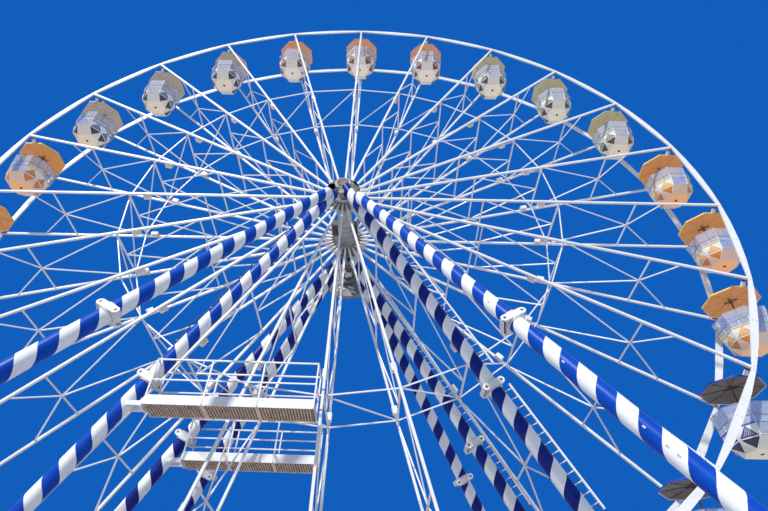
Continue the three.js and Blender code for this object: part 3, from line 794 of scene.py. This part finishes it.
# control boxes with their pale edges
parts.append(block((-0.60, 0.20, APEX_Z - 0.16), (-0.30, 0.86, APEX_Z + 0.16), unit_grey))
parts.append(block((0.30, 0.20, APEX_Z - 0.15), (0.58, 0.74, APEX_Z + 0.15), unit_grey))
for x in (-0.62, -0.31, 0.29, 0.56):
    parts.append(block((x, 0.22, APEX_Z - 0.17), (x + 0.03, 0.72, APEX_Z + 0.12), white))
fitted(joined("hub_barrel", parts, 0.004), "wheel", "hub_metal", "hub")
head = rod((HUB_BOLT_R, 1.655, 0), (HUB_BOLT_R, RING_END - 0.0005, 0), 0.034, bolt_steel, 6)
ring = joined("hub_bolts_back", copied(head, [moved(*axle_line) @ turned(10 * k, "Y") for k in range(36)]))
other = bpy.data.objects.new("hub_bolts_front", ring.data.copy())
other.data.transform(turned(180, "Z"))
bpy.context.scene.collection.objects.link(other)
for piece in (ring, other):
    fitted(piece, "wheel", "grey_steel")

# Spoke frames and rims. White box sections, welded lattice; plates and boxes are bolted on at
# the joints, and half way along each rim length there is a splice.
painted(white, "spoke_frame_1", "spoke_frame_2", "spoke_frame_3", "spoke_frame_4")
painted(white, "rim_front_1", "rim_front_2", "rim_back_1", "rim_back_2")
CROSS_BARS, SPOKE_JOINTS, PLATE_BOLTS = (12.425, 9.17, 5.95, 2.9), (8.74, 14.40), (15.42, 15.58)
BOX_AT = {"front": 8.42, "back": 8.78}


def station(k):
    """Turns a part made on the +X spoke to spoke k."""
    return moved(*axle_line) @ turned(15 * k - 165, "Y")


for end, sy in SIDE.items():
    y = sy * RIM_Y
    # spoke root plate lapping over the hub flange
    parts = [lump((0.74, y + 0.014 * sy, 0), (0.24, 0.086, 0.043), white)]
    # gussets at each cross bar, and the joint flanges of the spoke's lengths
    parts += [lump((r, y - sy * 0.025, 0), (0.09, 0.022, 0.045), white) for r in CROSS_BARS]
    parts += [lump((r, y, 0), (0.10, 0.046, 0.046), worn_white) for r in SPOKE_JOINTS]
    for x in PLATE_BOLTS:
        parts.append(lump((x, y, 0), (0.05, 0.046, 0.046), white))
        parts.append(rod((x, y - 0.052, 0), (x, y + 0.052, 0), 0.014, bolt_steel, 6))
    # lamp control box on the inner side of the spoke
    r = BOX_AT[end]
    parts.append(lump((r, y - sy * 0.145, 0), (0.14, 0.10, 0.09), white))
    parts.append(lump((r - 0.0225, y - sy * 0.10, 0), (0.1225, 0.04, 0.095), beige))
    # rim joint plate and its bolts
    parts.append(block((15.845, y - 0.040, -0.13), (15.972, y + 0.040, 0.13), white))
    for z in (-0.085, 0.085):
        parts.append(rod((15.91, y - 0.046, z), (15.91, y + 0.046, z), 0.015, bolt_steel, 6))
    # bearing box round the gondola's pin
    near, far = sorted((sy * 1.1275, sy * 1.235))
    parts += [block((x, near, -0.061), (x + 0.055, far, 0.061), bearing_brown) for x in (15.689, 15.836)]
    parts += [block((15.74, near, z), (15.84, far, z + 0.01518), bearing_brown) for z in (-0.06118, 0.046)]
    fittings = joined("fittings", parts, 0.003)
    stations = [station(k) for k in range(24)]
    fitted(joined(f"spoke_fittings_{end}", copied(fittings, stations)), "wheel", "white_steel")
    # rim splice: a sleeve with two bolts at each side
    parts = [block((15.735, y - 0.041, -0.028), (15.974, y + 0.041, 0.028), white)]
    for x, z in ((15.78, -0.017), (15.93, -0.017), (15.78, 0.017), (15.93, 0.017)):
        parts.append(rod((x, y - 0.047, z), (x, y + 0.047, z), 0.009, bolt_steel, 6))
    splice = joined("splice", parts, 0.002)
    half_way = [station(k + 0.5) for k in range(24)]
    fitted(joined(f"rim_splices_{end}", copied(splice, half_way)), "wheel", "white_steel")

# Gondolas. Eight-sided moulded shells hanging level from two pins: folded white bowl with dotted
# triangle panels, clear screens on a tube frame, centre column with hand wheel, umbrella roof.
FLOOR_Z, FOLD_Z, BELT_Z, MID_Z, SCREEN_Z = -2.358, -2.065, -1.69, -1.43, -1.025
# Widths across the flats of the eight sides at the fold, the belt, the screens' top and the roof
FOLD_WIDE, BELT_WIDE, TOP_WIDE, ROOF_WIDE = 1.50, 1.675, 1.835, 1.92
SHELL_WHITE = (0.80, 0.79, 0.77)


def corner_r(flats):
    """Distance to the corners of an eight-sided ring of that width across its flats."""
    return flats / 2 / math.cos(math.pi / 8)


def corner(flats, i, z):
    """Corner i of an eight-sided ring of that width across its flats."""
    a = math.radians(22.5 + 45 * i)
    return Vector((corner_r(flats) * math.cos(a), corner_r(flats) * math.sin(a), z))


def shell_white():
    """White glass-fibre gelcoat, yellowed and spotted."""
    paint, tree, shader, place = finish("gondola_shell_white", 0.3)
    shader.inputs["Coat Weight"].default_value = 0.3
    colour = stained(tree, place, SHELL_WHITE, (2.0, 0.4, 0.8, (0.66, 0.63, 0.58)),
                     (22, 0.62, 0.8, (0.50, 0.45, 0.38)))
    tree.links.new(colour, shader.inputs["Base Color"])
    return paint


def moulded(name, colour, worn, painted_glow=0.0):
    """Coloured glass-fibre moulding, grainy and faded; its last argument sets a painted glow in its own
    colour, standing in for sunlight that comes through.
    """
    paint, tree, shader, place = finish(name, 0.45)
    # the emission is painted light, a glow of the moulding's own colour
    shader.inputs["Emission Color"].default_value = (*colour, 1)
    shader.inputs["Emission Strength"].default_value = painted_glow
    mixed = stained(tree, place, colour, (3.0, 0.35, 0.75, worn), (34, 0.5, 0.8, shade(worn, 0.72)))
    tree.links.new(mixed, shader.inputs["Base Color"])
    bumps(tree, shader, clouds(tree, place, 90, 0.0, 1.0), 0.15, 0.003)
    return paint


def dotted(name, colour, dots):
    """A white panel with a triangle of that colour on it, filled with rows of dots."""
    paint, tree, shader, place = finish(name, 0.35)
    panel = tree.nodes.new("ShaderNodeUVMap")
    panel.uv_map = "UVMap"
    apart = tree.nodes.new("ShaderNodeSeparateXYZ")
    tree.links.new(panel.outputs["UV"], apart.inputs["Vector"])
    across, up_panel = apart.outputs["X"], apart.outputs["Y"]
    edge = sums(tree, "ADD", sums(tree, "ABSOLUTE", across), up_panel)
    inside, core = (sums(tree, "MULTIPLY", sums(tree, "LESS_THAN", edge, outer),
                         sums(tree, "GREATER_THAN", up_panel, base))
                    for outer, base in ((0.92, 0.06), (0.80, 0.14)))
    rows = None
    for shift in (0.0, 0.5):
        a, b = (sums(tree, "PINGPONG", sums(tree, "ADD", sums(tree, "MULTIPLY", way, count), shift), 0.5)
                for way, count in ((across, 5.0), (up_panel, 4.0)))
        far = sums(tree, "ADD", sums(tree, "MULTIPLY", a, a), sums(tree, "MULTIPLY", b, b))
        spot = sums(tree, "LESS_THAN", far, 0.055)
        rows = spot if rows is None else sums(tree, "MAXIMUM", rows, spot)
    marks = sums(tree, "MULTIPLY", rows, core)
    ground = stained(tree, place, (0.88, 0.87, 0.85), (2.0, 0.4, 0.8, (0.76, 0.74, 0.70)))
    film = stained(tree, place, colour, (12, 0.4, 0.8, shade(colour, 0.7)))
    tree.links.new(over(tree, marks, over(tree, inside, ground, film), dots), shader.inputs["Base Color"])
    return paint


def clear_screen():
    """Clear plastic, scuffed and hazy."""
    paint, tree, shader, place = finish("clear_screen", 0.12)
    colour = stained(tree, place, (0.50, 0.56, 0.72), (5, 0.35, 0.8, (0.66, 0.68, 0.76)))
    tree.links.new(colour, shader.inputs["Base Color"])
    tree.links.new(sums(tree, "ADD", 0.34, clouds(tree, place, 9, 0.35, 2.2)), shader.inputs["Alpha"])
    return paint


shell = shell_white()
screen = clear_screen()
frame_brown = machine_grey("column_brown", (0.10, 0.075, 0.06), (0.20, 0.15, 0.12))
rail_brown = machine_grey("screen_rail_brown", (0.30, 0.25, 0.235), (0.42, 0.37, 0.35), (0.20, 0.14, 0.11))
seat_paint = moulded("bench_grey_moulding", (0.42, 0.42, 0.43), (0.34, 0.34, 0.35))
# roof top, roof underside (its colour with painted warm bounce light), roof edge, belt triangle, lower
# triangle, dots of both, floor underside (its white with painted warm bounce light)
COLOURS = {"orange": ((0.72, 0.20, 0.02), (0.86, 0.35, 0.09), (0.90, 0.60, 0.005), (0.90, 0.44, 0.02),
                      (0.88, 0.30, 0.055), (0.85, 0.8, 0.65), (0.74, 0.21, 0.03), (1.0, 0.54, 0.24)),
           "blue": ((0.015, 0.05, 0.36), (0.56, 0.46, 0.36), (0.01, 0.05, 0.46), (0.015, 0.02, 0.16),
                    (0.025, 0.025, 0.045), (0.7, 0.72, 0.8), (0.14, 0.14, 0.18), (0.90, 0.76, 0.58)),
           "red": ((0.50, 0.03, 0.03), (0.86, 0.43, 0.22), (0.62, 0.16, 0.05), (0.20, 0.05, 0.05),
                   (0.24, 0.075, 0.045), (0.75, 0.6, 0.55), (0.32, 0.12, 0.07), (0.92, 0.80, 0.66)),
           "green": ((0.22, 0.30, 0.05), (0.62, 0.53, 0.31), (0.48, 0.42, 0.14), (0.20, 0.18, 0.12),
                     (0.09, 0.07, 0.045), (0.75, 0.73, 0.62), (0.16, 0.13, 0.09), (0.90, 0.79, 0.62))}
finishes = {}
for family, (roof, under, edge, belt, lower, belt_dots, lower_dots, base) in COLOURS.items():
    # the bowl side is half white and half floor-underside colour, so it carries part of that painted warm
    # bounce light
    flank_with_bounce = tuple((a + b) / 2 for a, b in zip(base, SHELL_WHITE))
    # the lining, floor underside and bowl side also get a painted glow
    finishes[family] = [moulded(f"roof_{family}", roof, shade(roof, 0.8)),
                        moulded(f"roof_lining_{family}", under, shade(under, 0.85), 0.14),
                        moulded(f"roof_edge_{family}", edge, shade(edge, 0.9)),
                        dotted(f"belt_panel_{family}", belt, belt_dots),
                        dotted(f"lower_panel_{family}", lower, lower_dots),
                        moulded(f"floor_underside_painted_bounce_{family}", base, shade(base, 0.92), 0.16),
                        moulded(f"bowl_side_painted_bounce_{family}", flank_with_bounce, shade(flank_with_bounce, 0.9), 0.06)]
faded_belt = dotted("belt_panel_faded_orange", (0.86, 0.24, 0.05), (0.74, 0.34, 0.12))
# a dark brown lining for gondolas 14 to 16, low on the right, is painted shade under their roofs
painted_shade_lining = moulded("roof_lining_painted_shade", (0.17, 0.125, 0.105), (0.11, 0.08, 0.07))
roof_paint, lining, edge_paint, belt_panel, lower_panel, floor_bounce_paint, bowl_side_painted_bounce = finishes["orange"]

# bowl: the hull between the fold and the narrow floor, without its lid
FLOOR_LONG, FLOOR_SHORT, FLOOR_HALF_Y = 0.510, 0.345, 0.377
bpy.ops.mesh.primitive_circle_add(vertices=8, radius=corner_r(FOLD_WIDE), location=(0, 0, FOLD_Z),
                                  rotation=(0, 0, math.radians(22.5)))
bowl = placed(shell)
opened(bowl)
bpy.ops.mesh.primitive_circle_add(vertices=6, radius=0.4, location=(0, 0, FLOOR_Z),
                                  rotation=(0, 0, math.radians(30)))
shape = bmesh.from_edit_mesh(bowl.data)
for v in shape.verts:
    if v.co.z < FOLD_Z - 0.1:
        at_door = abs(v.co.y) > 0.1
        v.co.x = math.copysign(FLOOR_SHORT if at_door else FLOOR_LONG, v.co.x)
        v.co.y = math.copysign(FLOOR_HALF_Y, v.co.y) if at_door else 0
bmesh.update_edit_mesh(bowl.data)
bpy.ops.mesh.select_all(action="SELECT")
bpy.ops.mesh.convex_hull()
picked(bowl, lambda f: f.normal.z > 0.9)
bpy.ops.mesh.delete(type="FACE")
closed(bowl)
# belt: six leaning panels, open at the two doors
bpy.ops.mesh.primitive_cone_add(vertices=8, radius1=corner_r(FOLD_WIDE), radius2=corner_r(BELT_WIDE),
                                depth=BELT_Z - FOLD_Z, location=(0, 0, (BELT_Z + FOLD_Z) / 2),
                                rotation=(0, 0, math.radians(22.5)), end_fill_type="NOTHING")
belt = placed(shell)
opened(belt)
picked(belt, lambda f: abs(f.normal.y) > 0.9)
bpy.ops.mesh.delete(type="FACE")
closed(belt)
body = joined("body", [bowl, belt])
for paint in (belt_panel, lower_panel, floor_bounce_paint, bowl_side_painted_bounce, shell):
    body.data.materials.append(paint)
BELT_SLOT, LOWER_SLOT, FLOOR_SLOT, FLANK_SLOT = 1, 2, 3, 4
layout = body.data.uv_layers.active.data
for f in body.data.polygons:
    points = [body.data.vertices[i].co.copy() for i in f.vertices]
    base = [p for p in points if abs(p.z - FOLD_Z) < 0.01]
    ends = [p for p in points if abs(p.z - FOLD_Z) >= 0.01]
    belt_face = f.center.z > FOLD_Z
    if not belt_face:
        f.material_index = FLOOR_SLOT if f.normal.z < -0.95 else FLANK_SLOT
    if len(base) != 2 or abs(f.normal.y) >= 0.9 or not (belt_face or len(ends) == 1):
        continue
    # a panel with a triangle: across it from -1 to 1 at the fold, and up it from 0 to 1
    f.material_index = BELT_SLOT if belt_face else LOWER_SLOT
    middle = (base[0] + base[1]) / 2
    along = (base[1] - base[0]).normalized()
    half = (base[1] - base[0]).length / 2
    tip = sum(ends, Vector()) / len(ends)
    rise = tip - middle
    rise -= rise.dot(along) * along
    lean = (tip - middle).dot(along) / rise.length
    for i in f.loop_indices:
        at = body.data.vertices[body.data.loops[i].vertex_index].co - middle
        up_panel = at.dot(rise.normalized()) / rise.length
        layout[i].uv = ((at.dot(along) - lean * up_panel * rise.length) / half, up_panel)
opened(body)
bpy.ops.mesh.select_all(action="SELECT")
bpy.ops.mesh.remove_doubles(threshold=0.001)
bpy.ops.mesh.normals_make_consistent(inside=False)
bpy.ops.object.mode_set(mode="OBJECT")
bpy.ops.object.modifier_add(type="SOLIDIFY")
body.modifiers[-1].thickness = 0.022
body.modifiers[-1].offset = -1
body.modifiers[-1].material_offset = len(body.data.materials)
bpy.ops.object.modifier_apply(modifier=body.modifiers[-1].name)
bpy.ops.object.shade_flat()
body.select_set(False)


def underside(f):
    """Whether the face is the roof's whole lower side."""
    return f.normal.z < -0.9 and f.calc_area() > 1


# umbrella roof: eight flat slopes, a coloured turned-down edge and a lining rising to the middle
ROOF_RISE, EDGE_DEEP, EAVES_Z, LINING_TOP = 0.185, 0.055, -0.13, -0.075
bpy.ops.mesh.primitive_cone_add(vertices=8, radius1=corner_r(ROOF_WIDE), radius2=0.05, depth=ROOF_RISE,
                                location=(0, 0, EAVES_Z + ROOF_RISE / 2), rotation=(0, 0, math.radians(22.5)))
canopy = placed(roof_paint)
for paint in (edge_paint, lining, shell):
    canopy.data.materials.append(paint)
EDGE_SLOT, LINING_SLOT, LIP_SLOT = 1, 2, 3
opened(canopy)
picked(canopy, underside)
bpy.ops.mesh.extrude_region_move(TRANSFORM_OT_translate={"value": (0, 0, -EDGE_DEEP)})
shape = bmesh.from_edit_mesh(canopy.data)
for f in shape.faces:
    if abs(f.normal.z) < 0.3:
        f.material_index = EDGE_SLOT
for width, inward, slot in ((0.012, 0.004, LIP_SLOT), (0.02, -0.01, LINING_SLOT)):
    picked(canopy, underside)
    bpy.ops.mesh.inset(thickness=width, depth=inward)
    shape = bmesh.from_edit_mesh(canopy.data)
    for f in shape.faces:
        if underside(f):
            f.material_index = slot
bpy.ops.mesh.poke(offset=0)
shape = bmesh.from_edit_mesh(canopy.data)
for v in shape.verts:
    if v.co.xy.length < 0.02 and v.co.z < 0:
        v.co.z = LINING_TOP
for f in shape.faces:
    if f.normal.z < -0.5 and f.calc_center_median().xy.length < 0.75:
        f.material_index = LINING_SLOT
bmesh.update_edit_mesh(canopy.data)
bpy.ops.object.mode_set(mode="OBJECT")
bpy.ops.object.shade_flat()
canopy.select_set(False)
parts = [body, canopy]
# lining seams and the X bracket under the roof's middle
seam = bar((0.05, 0, -0.083), (0.93, 0, -0.187), 0.018, 0.012, lining)
parts += copied(seam, [turned(22.5 + 45 * k, "Z") for k in range(8)])
arm = bar((0.0, 0, -0.112), (0.24, 0, -0.125), 0.045, 0.03, frame_brown)
parts += copied(arm, [turned(45 + 90 * k, "Z") for k in range(4)])
parts.append(rod((0, 0, -2.33), (0, 0, -0.09), 0.036, frame_brown, 16))
parts.append(rod((0, 0, -0.20), (0, 0, -0.10), 0.06, frame_brown, 16))
# floor plate with its drain, a black disc that is painted shade for the hole, benches either side and the
# hand wheel on its column
parts.append(rod((0, 0, -2.336), (0, 0, -2.3595), 0.062, rubber, 16))
outline = ((0.399, 0.147), (0.399, -0.147), (0.231, -0.378), (-0.231, -0.378),
           (-0.399, -0.147), (-0.399, 0.147), (-0.231, 0.378), (0.231, 0.378))
parts.append(plate([(x, y, -2.29) for x, y in outline], 0.02, seat_paint))
SEAT_Z, WHEEL_Z, WHEEL_R = -1.90, -1.52, 0.27
for sx in (-1, 1):
    seat = ((0.74, -0.30), (0.74, 0.30), (0.36, 0.66), (0.36, -0.66))
    skirt = ((0.37, -0.60, -1.93), (0.37, 0.60, -1.93), (0.33, 0.36, -2.29), (0.33, -0.36, -2.29))
    parts.append(plate([(sx * x, y, SEAT_Z) for x, y in seat], 0.05, seat_paint))
    parts.append(plate([(sx * x, y, z) for x, y, z in skirt], 0.02, shell))
bpy.ops.mesh.primitive_torus_add(major_radius=WHEEL_R, minor_radius=0.017, major_segments=32,
                                 minor_segments=8, location=(0, 0, WHEEL_Z))
parts.append(placed(frame_brown))
spoke = bar((0, 0, WHEEL_Z - 0.03), (WHEEL_R, 0, WHEEL_Z), 0.025, 0.012, frame_brown)
parts += copied(spoke, [turned(90 * k, "Z") for k in range(4)])
# screen frame: white corner posts at the doors, brown rails, coloured strip along the belt
DOORS, DOOR_CORNERS, MID_IN, TOP_IN = (1, 5), (1, 2, 5, 6), BELT_WIDE - 0.005, TOP_WIDE - 0.005
for i in range(8):
    foot, mid, top = corner(BELT_WIDE, i, BELT_Z), corner(BELT_WIDE, i, MID_Z), corner(TOP_WIDE, i, SCREEN_Z)
    if i in DOOR_CORNERS:
        parts.append(rod(corner(FOLD_WIDE, i, FOLD_Z), corner(BELT_WIDE, i, BELT_Z + 0.001), 0.017, shell, 8))
        parts.append(rod(foot, mid, 0.017, shell, 8))
        parts.append(rod(mid, top, 0.012, shell, 8))
    else:
        parts.append(rod(foot, mid, 0.012, rail_brown, 8))
        parts.append(rod(mid, top, 0.012, rail_brown, 8))
    a, b = corner(MID_IN, i, MID_Z), corner(MID_IN, i + 1, MID_Z)
    parts.append(rod(a, b, 0.02, rail_brown, 8))
    parts.append(rod(corner(TOP_IN, i, SCREEN_Z), corner(TOP_IN, i + 1, SCREEN_Z), 0.009, rail_brown, 8))
    if i in DOORS:
        parts.append(rod(corner(1.52, i, FOLD_Z + 0.03), corner(1.52, i + 1, FOLD_Z + 0.03), 0.008, shell, 8))
    else:
        parts.append(bar(foot, corner(BELT_WIDE, i + 1, BELT_Z), 0.028, 0.035, edge_paint))
        middle = (a + b) / 2
        parts.append(rod((middle.x, middle.y, BELT_Z), middle, 0.012, shell, 8))
# hangers: narrow folded brackets from the roof edge out to the pins
PIN_HALF, PIN_Y, HANGER_Y = 0.046, 1.10, 1.106
for sy in (-1, 1):
    for sx in (-1, 1):
        cheek = ((0.072, 0.81, -0.122), (0.072, 0.945, -0.152), (PIN_HALF, HANGER_Y, -PIN_HALF),
                 (PIN_HALF, HANGER_Y, PIN_HALF), (0.07, 0.83, -0.108))
        parts.append(plate([(sx * x, sy * y, z) for x, y, z in cheek], 0.012, shell))
    fold = ((-PIN_HALF, HANGER_Y, -PIN_HALF), (PIN_HALF, HANGER_Y, -PIN_HALF), (0.072, 0.945, -0.152),
            (-0.072, 0.945, -0.152))
    parts.append(plate([(x, sy * y, z) for x, y, z in fold], 0.012, shell))
    parts.append(lump((0, sy * 1.097, 0), (0.05, 0.012, 0.05), worn_white))
    parts.append(rod((0, sy * PIN_Y, 0), (0, sy * (PIN_Y + 0.0285), 0), 0.038, bolt_steel, 16))
gondola = joined("gondola", parts, 0.0, 30)


def pane(i, z0, wide0, z1, wide1, gap, thick):
    """A clear pane in side i between two heights, short of the posts by that share of its width."""
    a0, b0 = corner(wide0, i, z0), corner(wide0, i + 1, z0)
    a1, b1 = corner(wide1, i, z1), corner(wide1, i + 1, z1)
    rim = [a0.lerp(b0, gap), a0.lerp(b0, 1 - gap), a1.lerp(b1, 1 - gap), a1.lerp(b1, gap)]
    return plate(rim, thick, screen)


# clear screens: two tiers of panes all round and a lower pane in each door
panes = []
for i in range(8):
    panes.append(pane(i, MID_Z + 0.02, 1.675, SCREEN_Z - 0.01, 1.830, 0.03, 0.006))
    panes.append(pane(i, BELT_Z + 0.02, 1.672, MID_Z - 0.02, 1.672, 0.03, 0.006))
    if i in DOORS:
        panes.append(pane(i, FOLD_Z + 0.002, 1.495, BELT_Z, 1.665, 0.02, 0.010))
screens = joined("screens", panes, 0.0, 30)
# the two parts are copied to the 24 pins, three gondolas of one colour together
PIVOT_R, FAMILIES, SHADED_LININGS, FADED = 15.79, ("orange", "blue", "red", "green"), (13, 14, 15), (22, 23, 0)
for k in range(24):
    family = FAMILIES[(k + 2) % 12 // 3]
    a = math.radians(165 - 15 * k)
    hang = moved(PIVOT_R * math.cos(a), 0, APEX_Z + PIVOT_R * math.sin(a))
    name = f"gondola_{k + 1:02d}"
    for source, suffix, replaced in ((gondola, "_shell", (name,)), (screens, "_screens", ())):
        copy = bpy.data.objects.new(name + suffix, source.data.copy())
        copy.data.name = name + suffix
        copy.data.transform(hang)
        for i, paint in enumerate(copy.data.materials):
            if paint in finishes["orange"]:
                copy.data.materials[i] = finishes[family][finishes["orange"].index(paint)]
            # gondolas 14 to 16 take the lining with painted shade
            if paint == lining and k in SHADED_LININGS:
                copy.data.materials[i] = painted_shade_lining
            if paint == belt_panel and k in FADED:
                copy.data.materials[i] = faded_belt
        bpy.context.scene.collection.objects.link(copy)
        fitted(copy, name + "_body", "gondola_" + family, *replaced)
bpy.data.objects.remove(gondola)
bpy.data.objects.remove(screens)
